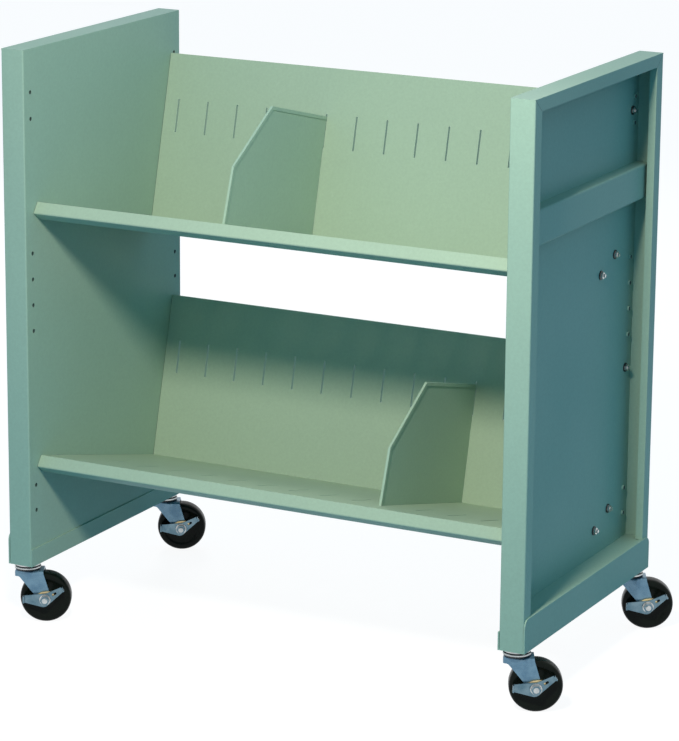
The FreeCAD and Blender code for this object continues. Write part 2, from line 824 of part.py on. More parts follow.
doc.recompute()
failed = [item.Name for item in doc.Objects if {"Invalid", "Error"} & set(item.State)]
if failed:
    raise ValueError("objects that failed: " + ", ".join(failed))
for part in parts:
    if part.Shape.isNull() or not part.Shape.isValid():
        raise ValueError(f"{part.Label} is not a valid shape")
for part in parts:
    part.Shape.exportStep(f"parts/{part.Label}.step")
print(len(parts), "sub-parts written")
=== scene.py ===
import json
import math

import bmesh
import bpy
from mathutils import Matrix, Vector


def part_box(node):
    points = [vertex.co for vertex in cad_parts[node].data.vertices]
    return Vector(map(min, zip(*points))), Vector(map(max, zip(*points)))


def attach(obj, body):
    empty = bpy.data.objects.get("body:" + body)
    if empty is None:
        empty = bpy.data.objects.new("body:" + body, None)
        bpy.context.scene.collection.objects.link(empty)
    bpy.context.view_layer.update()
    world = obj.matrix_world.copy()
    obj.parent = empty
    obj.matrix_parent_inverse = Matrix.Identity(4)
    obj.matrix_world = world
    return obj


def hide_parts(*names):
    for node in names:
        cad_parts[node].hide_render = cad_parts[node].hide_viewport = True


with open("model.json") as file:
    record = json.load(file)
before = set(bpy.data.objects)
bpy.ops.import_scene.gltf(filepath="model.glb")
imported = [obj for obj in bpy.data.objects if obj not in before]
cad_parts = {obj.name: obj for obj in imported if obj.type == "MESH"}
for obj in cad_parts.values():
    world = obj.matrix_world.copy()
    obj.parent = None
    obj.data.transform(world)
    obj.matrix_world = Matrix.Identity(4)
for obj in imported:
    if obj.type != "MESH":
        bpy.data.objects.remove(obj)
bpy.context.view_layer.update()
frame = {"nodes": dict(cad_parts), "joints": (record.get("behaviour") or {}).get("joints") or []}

NODES = frame["nodes"]
JOINTS = {joint["name"]: joint for joint in frame["joints"]}
CASTERS = ("front_left", "front_right", "rear_left", "rear_right")
MM = 0.001


# Finishes

# places of the factor, the two colours and the result among the sockets of a Mix node
COLOUR_MIX_INPUTS = (0, 6, 7)
COLOUR_MIX_OUTPUT = 2
FINISH_OUTPUTS = (
    ("Colour", "NodeSocketColor"), ("Roughness", "NodeSocketFloat"), ("Height", "NodeSocketFloat"))


def new_group(name, inputs, outputs):
    """Starts a shader node group with named sockets, each given as (name, kind, default)."""
    group = bpy.data.node_groups.new(name, "ShaderNodeTree")
    for label, kind, value in inputs:
        socket = group.interface.new_socket(name=label, in_out="INPUT", socket_type=kind)
        socket.default_value = value
    for label, kind in outputs:
        group.interface.new_socket(name=label, in_out="OUTPUT", socket_type=kind)
    return group, group.nodes.new("NodeGroupInput"), group.nodes.new("NodeGroupOutput")


def add_node(tree, kind, settings=None, **inputs):
    """Adds a node with its settings, and links or sets its inputs by name."""
    node = tree.nodes.new(kind)
    for key, value in (settings or {}).items():
        setattr(node, key, value)
    for key, value in inputs.items():
        socket = node.inputs[key.replace("_", " ")]
        if isinstance(value, bpy.types.NodeSocket):
            tree.links.new(value, socket)
        else:
            socket.default_value = value
    return node


def mix_colour(tree, factor, first, second, blend="MIX"):
    """Mixes two colours, each a value or a socket, and gives the result."""
    node = tree.nodes.new("ShaderNodeMix")
    node.data_type = "RGBA"
    node.blend_type = blend
    for index, value in zip(COLOUR_MIX_INPUTS, (factor, first, second)):
        if isinstance(value, bpy.types.NodeSocket):
            tree.links.new(value, node.inputs[index])
        else:
            node.inputs[index].default_value = value
    return node.outputs[COLOUR_MIX_OUTPUT]


def spread(tree, value, low, high, start=0.0, end=1.0):
    """Maps a noise value from low and high to start and end, clamped."""
    node = add_node(tree, "ShaderNodeMapRange", None, Value=value,
                    From_Min=low, From_Max=high, To_Min=start, To_Max=end)
    return node.outputs["Result"]


def math_node(tree, kind, first, second):
    """Works on two values, each a number or a socket, and gives the result."""
    node = tree.nodes.new("ShaderNodeMath")
    node.operation = kind
    for index, value in enumerate((first, second)):
        if isinstance(value, bpy.types.NodeSocket):
            tree.links.new(value, node.inputs[index])
        else:
            node.inputs[index].default_value = value
    return node.outputs[0]


def noise(tree, where, scale, detail, roughness=0.5):
    """Gives a noise pattern on the piece's own coordinates."""
    node = add_node(tree, "ShaderNodeTexNoise", None, Vector=where, Scale=scale, Detail=detail,
                    Roughness=roughness)
    return node.outputs["Fac"]


def own_place(tree):
    """Gives the piece's own coordinates, which move with it."""
    return add_node(tree, "ShaderNodeTexCoord").outputs["Object"]


def put_out(group, out, colour, roughness, height):
    """Links the three results that every finish group gives."""
    for label, result in (("Colour", colour), ("Roughness", roughness), ("Height", height)):
        group.links.new(result, out.inputs[label])


def make_enamel_group():
    """Baked enamel: slow shade drift, fine specks, faint rub marks and a slight orange peel."""
    group, into, out = new_group(
        "baked_enamel",
        [("Coat Colour", "NodeSocketColor", (0.4, 0.5, 0.45, 1)),
         ("Shade Colour", "NodeSocketColor", (0.35, 0.45, 0.4, 1)),
         ("Rub Colour", "NodeSocketColor", (0.5, 0.58, 0.53, 1)),
         ("Gloss Base", "NodeSocketFloat", 0.38),
         ("Rub Amount", "NodeSocketFloat", 0.25)],
        FINISH_OUTPUTS)
    where = own_place(group)
    drift = noise(group, where, 3.2, 3.0)
    speck = noise(group, where, 260.0, 4.0, 0.7)
    peel = noise(group, where, 520.0, 2.0, 0.4)
    turn = add_node(group, "ShaderNodeMapping", None, Vector=where,
                    Rotation=(0.5, 0.2, 0.7), Scale=(90.0, 90.0, 7.0))
    rub = noise(group, turn.outputs[0], 1.6, 5.0, 0.65)
    base = mix_colour(group, spread(group, drift, 0.3, 0.7),
                      into.outputs["Coat Colour"], into.outputs["Shade Colour"])
    rub_mask = math_node(group, "MULTIPLY", spread(group, rub, 0.62, 0.78), into.outputs["Rub Amount"])
    base = mix_colour(group, rub_mask, base, into.outputs["Rub Colour"])
    dots = spread(group, speck, 0.35, 0.65, 0.965, 1.035)
    tone = add_node(group, "ShaderNodeCombineColor", None, Red=dots, Green=dots, Blue=dots)
    base = mix_colour(group, 1.0, base, tone.outputs[0], "MULTIPLY")
    rough = math_node(group, "ADD", into.outputs["Gloss Base"], spread(group, drift, 0.3, 0.7, -0.03, 0.05))
    rough = math_node(group, "ADD", rough, math_node(group, "MULTIPLY", rub_mask, 0.35))
    put_out(group, out, base, rough, peel)
    return group


def make_plating_group():
    """Plated steel: cloudy tint, drawn streaks in the roughness and fine grain."""
    group, into, out = new_group(
        "plated_steel",
        [("Bright Colour", "NodeSocketColor", (0.7, 0.7, 0.7, 1)),
         ("Cloud Colour", "NodeSocketColor", (0.5, 0.5, 0.5, 1)),
         ("Gloss Base", "NodeSocketFloat", 0.3),
         ("Grain Scale", "NodeSocketFloat", 900.0)],
        FINISH_OUTPUTS)
    where = own_place(group)
    cloud = noise(group, where, 70.0, 3.0, 0.6)
    grain = noise(group, where, into.outputs["Grain Scale"], 3.0, 0.6)
    drawn = add_node(group, "ShaderNodeMapping", None, Vector=where, Scale=(60.0, 60.0, 900.0))
    streak = noise(group, drawn.outputs[0], 1.0, 2.0)
    base = mix_colour(group, spread(group, cloud, 0.35, 0.65),
                      into.outputs["Bright Colour"], into.outputs["Cloud Colour"])
    rough = math_node(group, "ADD", into.outputs["Gloss Base"], spread(group, cloud, 0.3, 0.7, -0.05, 0.08))
    rough = math_node(group, "ADD", rough, spread(group, streak, 0.3, 0.7, -0.05, 0.05))
    put_out(group, out, base, rough, grain)
    return group


def make_rubber_group():
    """Hard rubber: near black, with a grey bloom and fine dust."""
    group, into, out = new_group(
        "hard_rubber",
        [("Body Colour", "NodeSocketColor", (0.02, 0.02, 0.02, 1)),
         ("Bloom Colour", "NodeSocketColor", (0.08, 0.08, 0.08, 1)),
         ("Gloss Base", "NodeSocketFloat", 0.4)],
        FINISH_OUTPUTS)
    where = own_place(group)
    bloom = noise(group, where, 60.0, 5.0, 0.7)
    dust = noise(group, where, 700.0, 3.0, 0.7)
    base = mix_colour(group, spread(group, bloom, 0.45, 0.75, 0.0, 0.5),
                      into.outputs["Body Colour"], into.outputs["Bloom Colour"])
    base = mix_colour(group, spread(group, dust, 0.6, 0.75, 0.0, 0.35), base, into.outputs["Bloom Colour"])
    rough = math_node(group, "ADD", into.outputs["Gloss Base"], spread(group, bloom, 0.4, 0.7, 0.0, 0.18))
    put_out(group, out, base, rough, dust)
    return group


def make_material(name, group, metallic, bump, depth, coat=0.0, specular=0.5, **values):
    """Puts a finish group in a material of its own, with its own values."""
    material = bpy.data.materials.new(name)
    material.use_nodes = True
    tree = material.node_tree
    shader = tree.nodes["Principled BSDF"]
    finish = tree.nodes.new("ShaderNodeGroup")
    finish.node_tree = group
    for key, value in values.items():
        finish.inputs[key.replace("_", " ")].default_value = value
    relief = add_node(tree, "ShaderNodeBump", None, Strength=bump, Distance=depth,
                      Height=finish.outputs["Height"])
    tree.links.new(finish.outputs["Colour"], shader.inputs["Base Color"])
    tree.links.new(finish.outputs["Roughness"], shader.inputs["Roughness"])
    tree.links.new(relief.outputs["Normal"], shader.inputs["Normal"])
    shader.inputs["Metallic"].default_value = metallic
    shader.inputs["Coat Weight"].default_value = coat
    shader.inputs["Coat Roughness"].default_value = 0.25
    shader.inputs["Specular IOR Level"].default_value = specular
    return material


ENAMEL = make_enamel_group()
PLATING = make_plating_group()
RUBBER = make_rubber_group()

PAINT = {"metallic": 0.0, "bump": 0.12, "depth": 0.0004, "specular": 0.14, "Gloss_Base": 0.46}
end_enamel = make_material(
    "end_enamel", ENAMEL, **PAINT, Rub_Amount=0.2,
    Coat_Colour=(0.355, 0.495, 0.385, 1), Shade_Colour=(0.335, 0.47, 0.365, 1),
    Rub_Colour=(0.44, 0.58, 0.49, 1))
shelf_enamel = make_material(
    "shelf_enamel", ENAMEL, **PAINT, Rub_Amount=0.25,
    Coat_Colour=(0.41, 0.52, 0.38, 1), Shade_Colour=(0.385, 0.49, 0.36, 1),
    Rub_Colour=(0.50, 0.59, 0.48, 1))
divider_enamel = make_material(
    "divider_enamel", ENAMEL, **PAINT, Rub_Amount=0.4,
    Coat_Colour=(0.42, 0.55, 0.42, 1), Shade_Colour=(0.39, 0.52, 0.39, 1),
    Rub_Colour=(0.50, 0.60, 0.50, 1))
bright_zinc = make_material(
    "bright_zinc", PLATING, metallic=0.95, bump=0.08, depth=0.0002, Gloss_Base=0.18,
    Bright_Colour=(0.60, 0.62, 0.62, 1), Cloud_Colour=(0.42, 0.45, 0.46, 1))
lever_zinc = make_material(
    "lever_zinc", PLATING, metallic=0.9, bump=0.1, depth=0.0002, Gloss_Base=0.22,
    Bright_Colour=(0.17, 0.26, 0.31, 1), Cloud_Colour=(0.10, 0.18, 0.23, 1))
blue_zinc = make_material(
    "blue_zinc", PLATING, metallic=0.6, bump=0.1, depth=0.0002, Gloss_Base=0.24,
    Bright_Colour=(0.17, 0.29, 0.38, 1), Cloud_Colour=(0.11, 0.21, 0.30, 1))
yellow_zinc = make_material(
    "yellow_zinc", PLATING, metallic=0.9, bump=0.1, depth=0.0002, Gloss_Base=0.30,
    Bright_Colour=(0.70, 0.56, 0.28, 1), Cloud_Colour=(0.50, 0.40, 0.24, 1))
wheel_rubber = make_material(
    "wheel_rubber", RUBBER, metallic=0.0, bump=0.15, depth=0.0003, specular=0.1, Gloss_Base=0.22,
    Body_Colour=(0.004, 0.006, 0.004, 1), Bloom_Colour=(0.010, 0.015, 0.010, 1))
black_enamel = make_material(
    "black_enamel", RUBBER, metallic=0.0, bump=0.08, depth=0.0002, coat=0.1, specular=0.3,
    Gloss_Base=0.22, Body_Colour=(0.006, 0.008, 0.010, 1), Bloom_Colour=(0.02, 0.022, 0.024, 1))
# dark colour for the mitre seams, and painted shade inside the holes of the ends
seam_shadow = make_material(
    "seam_shadow", RUBBER, metallic=0.0, bump=0.1, depth=0.0002, Gloss_Base=0.6,
    Body_Colour=(0.05, 0.08, 0.07, 1), Bloom_Colour=(0.09, 0.12, 0.10, 1))

# the finish of each CAD node, by how its name ends
NODE_FINISHES = (
    (("end_panel", "mid_rail", "base_channel", "caster_rail"), end_enamel),
    (("shelf", "back"), shelf_enamel),
    (("divider",), divider_enamel),
    (("wheel",), wheel_rubber),
    (("cam",), yellow_zinc),
    (("fork",), blue_zinc),
    (("lever",), lever_zinc),
    (("races",), black_enamel),
    (("axle_bolt", "stems", "nuts"), bright_zinc),
)


def finish_cad_nodes():
    """Gives every CAD node its finish."""
    for name, node in NODES.items():
        node.data.materials.clear()
        for endings, material in NODE_FINISHES:
            if name.endswith(endings):
                node.data.materials.append(material)


finish_cad_nodes()


# Piece makers

MERGE_GAP = 1e-7
SHARP_TURN = math.radians(40)


def bake(piece):
    """Turns a piece and its modifiers into a plain mesh."""
    graph = bpy.context.evaluated_depsgraph_get()
    mesh = bpy.data.meshes.new_from_object(piece.evaluated_get(graph))
    piece.modifiers.clear()
    piece.data = mesh


def object_of(name, work):
    """Puts a work mesh in an object, with its doubles merged and its faces turned outwards."""
    bmesh.ops.remove_doubles(work, verts=work.verts[:], dist=MERGE_GAP)
    bmesh.ops.recalc_face_normals(work, faces=work.faces[:])
    mesh = bpy.data.meshes.new(name)
    work.to_mesh(mesh)
    work.free()
    piece = bpy.data.objects.new(name, mesh)
    bpy.context.scene.collection.objects.link(piece)
    return piece


def round_edges(piece, width, steps=2):
    """Rounds the sharp edges of a piece."""
    bevel = piece.modifiers.new("edges", "BEVEL")
    bevel.width = width
    bevel.segments = steps
    bevel.limit_method = "ANGLE"
    bevel.angle_limit = SHARP_TURN
    bake(piece)


def combine(piece, other, kind):
    """Cuts a piece with another, or keeps what the two share, and drops the other."""
    rule = piece.modifiers.new("combine", "BOOLEAN")
    rule.operation = kind
    rule.solver = "EXACT"
    rule.object = other
    bake(piece)
    bpy.data.objects.remove(other)


def join_pieces(first, *others):
    """Adds the meshes of other pieces to the first, whose finishes they share."""
    work = bmesh.new()
    for piece in (first, *others):
        work.from_mesh(piece.data)
    work.to_mesh(first.data)
    work.free()
    for other in others:
        bpy.data.objects.remove(other)
    return first


def settle(piece, basis, body, nodes=(), angle=35):
    """Places a finished piece by its mesh and hands it to the body that carries it."""
    piece.data.transform(basis)
    piece.data.shade_smooth()
    piece.data.set_sharp_from_angle(angle=math.radians(angle))
    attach(piece, body)
    if nodes:
        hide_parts(*nodes)


def upright(x, y, z):
    """Stands a flat drawing up, so that its depth runs along the axle to the lever side."""
    return x, -z, y


def flat(x, y, z):
    """Leaves a drawing lying flat, as a shape seen from above."""
    return x, y, z


def plate(outlines, low, high, lay=upright):
    """Makes a plate from a closed outline and the holes in it."""
    work = bmesh.new()
    edges = []
    for points in outlines:
        corners = [work.verts.new((x, y, low)) for x, y in points]
        edges += [work.edges.new((corners[k - 1], corners[k])) for k in range(len(corners))]
    bmesh.ops.triangle_fill(work, use_beauty=True, use_dissolve=False, edges=edges)
    top = bmesh.ops.extrude_face_region(work, geom=work.faces[:])
    moved = [item for item in top["geom"] if isinstance(item, bmesh.types.BMVert)]
    bmesh.ops.translate(work, vec=(0, 0, high - low), verts=moved)
    for corner in work.verts:
        corner.co = Vector(lay(*corner.co))
    return work


def turned(profile, steps, lay=flat):
    """Turns a profile of (radius, height) about its upright axis."""
    work = bmesh.new()
    line = [work.verts.new((radius, 0, height)) for radius, height in profile]
    edges = [work.edges.new(pair) for pair in zip(line, line[1:])]
    bmesh.ops.spin(work, geom=line + edges, axis=(0, 0, 1), cent=(0, 0, 0), dvec=(0, 0, 0),
                   angle=math.tau, steps=steps, use_merge=True)
    for corner in work.verts:
        corner.co = Vector(lay(*corner.co))
    return work


def circle(radius, count=48):
    """Outlines a circle about the middle of the drawing."""
    turns = [math.tau * k / count for k in range(count)]
    return [(radius * math.cos(turn), radius * math.sin(turn)) for turn in turns]


def rounded(corners, steps=6):
    """Outlines corners given as (x, y, radius), each with an arc of that radius."""
    points = []
    for k, (x, y, radius) in enumerate(corners):
        here = Vector((x, y))
        back = (Vector(corners[k - 1][:2]) - here).normalized()
        ahead = (Vector(corners[(k + 1) % len(corners)][:2]) - here).normalized()
        if not radius:
            points.append((x, y))
            continue
        half = back.angle(ahead) / 2
        centre = here + (back + ahead).normalized() * radius / math.sin(half)
        start = here + back * radius / math.tan(half) - centre
        end = here + ahead * radius / math.tan(half) - centre
        first = math.atan2(start.y, start.x)
        sweep = math.remainder(math.atan2(end.y, end.x) - first, math.tau)
        for step in range(steps + 1):
            angle = first + sweep * step / steps
            x, y = centre.x + radius * math.cos(angle), centre.y + radius * math.sin(angle)
            points.append((x, y))
    return points


# Casters

# heights over the floor
WHEEL_RADIUS = JOINTS["front_left_wheel_spin"]["pos_m"][2]
SWIVEL_HEIGHT = JOINTS["front_left_swivel_turn"]["pos_m"][2]

# The fork's front, crease and rear count from the swivel, its foot from the axle, and every
# inside and outside from the middle of the wheel. The tip and the halves are half widths.
AXLE_RADIUS = 4.0 * MM
BORE_RADIUS = 4.08 * MM
RACE_HEIGHT = 9.9 * MM
FORK_SHEET = 2.5 * MM
FORK_INSIDE = 13.7 * MM
FORK_OUTSIDE = FORK_INSIDE + FORK_SHEET
FORK_FRONT = 19.0 * MM
FORK_REAR = 24.0 * MM
FORK_SKIRT = 7.5 * MM
FORK_FOOT = -8.2 * MM
FORK_TIP = 6.5 * MM
FORK_CREASE = 9.0 * MM
FORK_BEND = 4.2 * MM
RUN_GAP = 0.1 * MM
SAME_HEIGHT = 0.001 * MM
CAM_INSIDE = 16.3 * MM
CAM_REACH = 15.0 * MM
CAM_HALF = 5.0 * MM
LEVER_INSIDE = 19.5 * MM
LEVER_SHEET = 2.5 * MM
LEVER_TAB = 8.0 * MM
LEVER_REACH = 32.5 * MM
LEVER_OFF_RISE = math.radians(1.8)
LEVER_ON_RISE = math.radians(32.8)
LEVER_OFF_HALF = 5.2 * MM
LEVER_ON_HALF = 3.5 * MM
BOLT_HEAD_HEIGHT = 5.0 * MM
BOLT_END = 1.5 * MM
NUT_INSIDE = 22.1 * MM
NUT_OUTSIDE = NUT_INSIDE + 6.0 * MM
NUT_FLATS = 13.0 * MM

# sections of the turned pieces, as radius and height along the axis in millimetres; the wheel's
# is one half
WHEEL_FACE = (
    (4.08, 12.8), (11.0, 12.8), (12.2, 12.3), (13.4, 11.0), (16.0, 10.3), (20.5, 10.0),
    (24.5, 10.4), (27.4, 11.6), (29.2, 12.7), (30.8, 13.0), (32.8, 12.9), (34.6, 12.2),
    (36.0, 10.9), (36.9, 9.2), (37.35, 7.0), (37.5, 3.5))
RACE_SIDE = (
    (5.1, 0.0), (18.6, 0.0), (19.3, -0.5), (19.5, -1.3), (19.3, -2.2), (18.4, -2.8), (17.2, -3.2),
    (17.2, -4.0), (18.4, -4.4), (19.4, -5.1), (19.5, -6.6), (19.2, -8.0), (18.3, -9.2),
    (16.5, -9.9), (5.1, -9.9))
WASHER_SIDE = ((4.1, 22.1), (8.2, 22.1), (8.4, 22.4), (8.2, 22.9), (4.1, 22.9))
# heights of the painted highlight bands on the two lips of a race, from its top
RACE_HIGHLIGHT_BANDS = ((-2.6 * MM, -0.3 * MM), (-6.8 * MM, -4.6 * MM))


def caster_trail(name):
    """Gives how far the axle of a caster lies behind its swivel."""
    swivel = Vector(JOINTS[name + "_swivel_turn"]["pos_m"])
    axle = Vector(JOINTS[name + "_wheel_spin"]["pos_m"])
    return (axle - swivel).to_2d().length


def axle_basis(name):
    """Gives the frame of an axle: along the trail, in from the lever side, and up."""
    spin = JOINTS[name + "_wheel_spin"]
    inward = Vector(spin["axis"]).normalized()
    up = Vector((0, 0, 1))
    along = inward.cross(up)
    turn = Matrix((along, inward, up)).transposed().to_4x4()
    return Matrix.Translation(Vector(spin["pos_m"])) @ turn


def closed_ring(outline, raised=0.0):
    """Turns an outline in millimetres into a closed one in metres, raised by some height."""
    return [(radius * MM, raised + height * MM) for radius, height in outline + outline[:1]]


def make_wheel():
    """Hard rubber wheel with dished faces, a hub boss and a rounded tread."""
    far_face = tuple((radius, -depth) for radius, depth in reversed(WHEEL_FACE))
    return object_of("wheel", turned(closed_ring(WHEEL_FACE + far_face), 96, upright))


def make_fork(trail):
    """Drawn sheet fork: a rounded cup under the race whose sides run down to the axle."""
    top = SWIVEL_HEIGHT - RACE_HEIGHT - RUN_GAP - WHEEL_RADIUS
    low = top - FORK_SHEET
    nose, rear = -trail - FORK_FRONT, -trail + FORK_REAR
    crease = -trail + FORK_CREASE
    outer_rear, inner_rear = rear + 14 * MM, rear + 20 * MM
    inner_nose, inner_tip = nose + FORK_SHEET, FORK_TIP - FORK_SHEET / 2
    outer = rounded([
        (nose, -FORK_TIP, 4 * MM), (crease, -FORK_OUTSIDE, 3 * MM), (outer_rear, -FORK_OUTSIDE, 0),
        (outer_rear, FORK_OUTSIDE, 0), (crease, FORK_OUTSIDE, 3 * MM), (nose, FORK_TIP, 4 * MM)])
    inner = rounded([
        (inner_nose, -inner_tip, 2 * MM), (crease, -FORK_INSIDE, 2 * MM), (inner_rear, -FORK_INSIDE, 0),
        (inner_rear, FORK_INSIDE, 0), (crease, FORK_INSIDE, 2 * MM), (inner_nose, inner_tip, 2 * MM)])
    cup = plate([outer], FORK_FOOT - 2 * MM, top, flat)
    rim = []
    for edge in cup.edges:
        on_top = all(abs(corner.co.z - top) < SAME_HEIGHT for corner in edge.verts)
        if on_top and edge.is_manifold and abs(edge.calc_face_angle(0)) > 1:
            rim.append(edge)
    bmesh.ops.bevel(cup, geom=rim, offset=FORK_BEND, segments=6, profile=0.5, affect="EDGES")
    cup = object_of("cup", cup)
    hollow = object_of("hollow", plate([inner], FORK_FOOT - 4 * MM, low, flat))
    combine(cup, hollow, "DIFFERENCE")
    side = rounded([
        (nose - MM, top + MM, 0), (nose - MM, low - FORK_SKIRT, 0),
        (nose + 6.5 * MM, low - FORK_SKIRT, 5 * MM), (-10.8 * MM, 0.4 * MM, 5 * MM),
        (-6.5 * MM, FORK_FOOT, 5.5 * MM), (5.6 * MM, FORK_FOOT, 6 * MM), (8.6 * MM, 1.5 * MM, 5 * MM),
        (rear, top - 4 * MM, 0), (rear - 0.6 * MM, top + MM, 0)])
    past = FORK_OUTSIDE + 5 * MM
    combine(cup, object_of("side", plate([side], -past, past)), "INTERSECT")
    return cup


def make_race(trail):
    """Black ball race with a rolled lip above and below its groove; the lips' bright bands are painted
    highlights.
    """
    work = turned(closed_ring(RACE_SIDE, SWIVEL_HEIGHT - WHEEL_RADIUS), 72)
    bmesh.ops.translate(work, vec=(-trail, 0, 0), verts=work.verts[:])
    return object_of("race", work)


def arm(rise, out, across, side):
    """Gives a point along and across a lever arm that climbs at the given angle."""
    x = math.cos(rise) * out - math.sin(rise) * across
    return x * side, math.sin(rise) * out + math.cos(rise) * across


def make_lever():
    """V-shaped brake lever with a slot in one arm and a folded tread at each tip."""
    reach = LEVER_REACH - LEVER_SHEET / 2
    on_low = arm(LEVER_ON_RISE, reach, -LEVER_ON_HALF, 1)
    on_high = arm(LEVER_ON_RISE, reach, LEVER_ON_HALF, 1)
    off_low = arm(LEVER_OFF_RISE, reach, -LEVER_OFF_HALF, -1)
    off_high = arm(LEVER_OFF_RISE, reach, LEVER_OFF_HALF, -1)
    outline = rounded([
        (0.0, -12.2 * MM, 9 * MM), (*on_low, MM), (*on_high, MM), (1.5 * MM, 9.4 * MM, 12 * MM),
        (*off_high, MM), (*off_low, MM)])
    slot = []
    for out, across in ((12.5, -1.6), (20.0, -1.6), (20.0, 1.8), (12.5, 1.8)):
        slot.append((*arm(LEVER_ON_RISE, out * MM, across * MM, 1), 1.2 * MM))
    outlines = [outline, rounded(slot, 4), circle(BORE_RADIUS)]
    body = object_of("lever", plate(outlines, LEVER_INSIDE, LEVER_INSIDE + LEVER_SHEET))
    round_edges(body, 0.5 * MM)
    treads = []
    near = LEVER_REACH - LEVER_SHEET
    for rise, half, side in ((LEVER_OFF_RISE, LEVER_OFF_HALF, -1), (LEVER_ON_RISE, LEVER_ON_HALF, 1)):
        corners = ((near, -half), (LEVER_REACH, -half), (LEVER_REACH, half), (near, half))
        fold = [arm(rise, out, across, side) for out, across in corners]
        tread = object_of("tread", plate([fold], LEVER_INSIDE, LEVER_INSIDE + LEVER_TAB))
        round_edges(tread, 0.9 * MM, 3)
        treads.append(tread)
    return join_pieces(body, *treads)


def make_cam():
    """Cam plate behind the lever, with a lobe for each arm."""
    on_low = arm(LEVER_ON_RISE, CAM_REACH, -CAM_HALF, 1)
    on_high = arm(LEVER_ON_RISE, CAM_REACH, CAM_HALF, 1)
    off_low = arm(LEVER_OFF_RISE, CAM_REACH, -CAM_HALF, -1)
    off_high = arm(LEVER_OFF_RISE, CAM_REACH, CAM_HALF, -1)
    outline = rounded([
        (0.0, -9.5 * MM, 6 * MM), (*on_low, 3 * MM), (*on_high, 3 * MM), (2.0 * MM, 12.0 * MM, 3 * MM),
        (-5.0 * MM, 11.0 * MM, 3 * MM), (*off_high, 2 * MM), (*off_low, 3 * MM)])
    cam = object_of("cam", plate([outline, circle(BORE_RADIUS)], CAM_INSIDE, LEVER_INSIDE - 0.05 * MM))
    round_edges(cam, 0.4 * MM)
    return cam


def make_hexagon(low, high, chamfer):
    """Makes a hexagon block on the axle, as for the bolt's head and its nut."""
    block = object_of("hexagon", plate([circle(NUT_FLATS / math.sqrt(3), 6)], low, high))
    round_edges(block, chamfer, 3)
    return block


def make_bolt():
    """Axle bolt with its head, a washer, the nut and a threaded end."""
    head = make_hexagon(-FORK_OUTSIDE - BOLT_HEAD_HEIGHT, -FORK_OUTSIDE, 0.5 * MM)
    nut = make_hexagon(NUT_INSIDE + MM, NUT_OUTSIDE, 0.6 * MM)
    washer = object_of("washer", turned(closed_ring(WASHER_SIDE), 48, upright))
    shank = [(0.0, -FORK_OUTSIDE), (AXLE_RADIUS, -FORK_OUTSIDE), (AXLE_RADIUS, NUT_OUTSIDE)]
    for ring in range(3):
        start = NUT_OUTSIDE + ring * 0.4 * MM
        shank += [(AXLE_RADIUS, start + 0.1 * MM), (AXLE_RADIUS - 0.35 * MM, start + 0.3 * MM)]
    shank += [(AXLE_RADIUS - 0.6 * MM, NUT_OUTSIDE + BOLT_END), (0.0, NUT_OUTSIDE + BOLT_END)]
    shank = object_of("shank", turned(shank, 40, upright))
    return join_pieces(head, nut, washer, shank)


def paint_nut_end_reflection(mesh):
    """Gives the end face of the nut the darker plating as a painted dark reflection, and leaves its sides
    and the screw bright.
    """
    mesh.materials.append(lever_zinc)
    for face in mesh.polygons:
        out = -face.center.y
        # the darker plating on the outward end face is a painted dark reflection
        if NUT_INSIDE + MM < out < NUT_OUTSIDE + 0.01 * MM and abs(face.normal.y) > 0.9:
            face.material_index = 1


def paint_race_highlights(mesh):
    """Gives a placed race its black body, and bright plating on its two lips as painted highlight bands."""
    mesh.materials.append(black_enamel)
    mesh.materials.append(bright_zinc)
    for face in mesh.polygons:
        height = face.center.z - SWIVEL_HEIGHT
        # the bands of bright plating on the lips are painted highlights
        if any(low < height < high for low, high in RACE_HIGHLIGHT_BANDS):
            face.material_index = 1


def dress_casters():
    """Makes each piece of a caster once and sets a copy on all four casters."""
    trail = caster_trail("front_left")
    masters = (
        ("wheel", make_wheel(), wheel_rubber, "roller", 40),
        ("fork", make_fork(trail), blue_zinc, "swivel", 30),
        ("brake_lever", make_lever(), lever_zinc, "brake", 30),
        ("brake_cam", make_cam(), yellow_zinc, "brake", 30),
        ("axle_bolt", make_bolt(), bright_zinc, "swivel", 30),
    )
    for part, master, material, body, angle in masters:
        master.data.materials.clear()
        master.data.materials.append(material)
        if part == "axle_bolt":
            paint_nut_end_reflection(master.data)
        for name in CASTERS:
            piece = bpy.data.objects.new(f"{name}_{part}_piece", master.data.copy())
            bpy.context.scene.collection.objects.link(piece)
            settle(piece, axle_basis(name), f"{name}_{body}", [f"{name}_{part}"], angle)
        bpy.data.objects.remove(master)
    races = []
    for name in CASTERS:
        race = make_race(trail)
        race.data.transform(axle_basis(name))
        paint_race_highlights(race.data)
        races.append(race)
    piece = join_pieces(*races)
    piece.name = "swivel_races_piece"
    settle(piece, Matrix(), "cart", ["swivel_races"])


dress_casters()


# Repeated small parts

# sizes of the CAD nodes that these parts sit on
END_WEB = 1.2 * MM
END_THICKNESS = 36.5 * MM
HOLE_RADIUS = 3.0 * MM
HOLE_INSET = 17.4 * MM
HOLE_PITCH = 38.1 * MM
HOLE_STARTS = ((83.0 * MM, 2), (352.1 * MM, 4), (661.7 * MM, 2))
SHELF_TILT = math.radians(14.0)
SHELF_SETBACK = 31.0 * MM
SHELF_DEPTH = 330.0 * MM
SHELF_HEIGHTS = {"upper": 539.5 * MM, "lower": 163.0 * MM}
BACK_SHEET = 1.2 * MM
SLOT_PITCH = 50.35 * MM
SLOT_WIDTH = 2.6 * MM
SLOT_MARGIN = 20.8 * MM
BACK_SLOT_LOW = 129.4 * MM
BACK_SLOT_LENGTH = 50.4 * MM

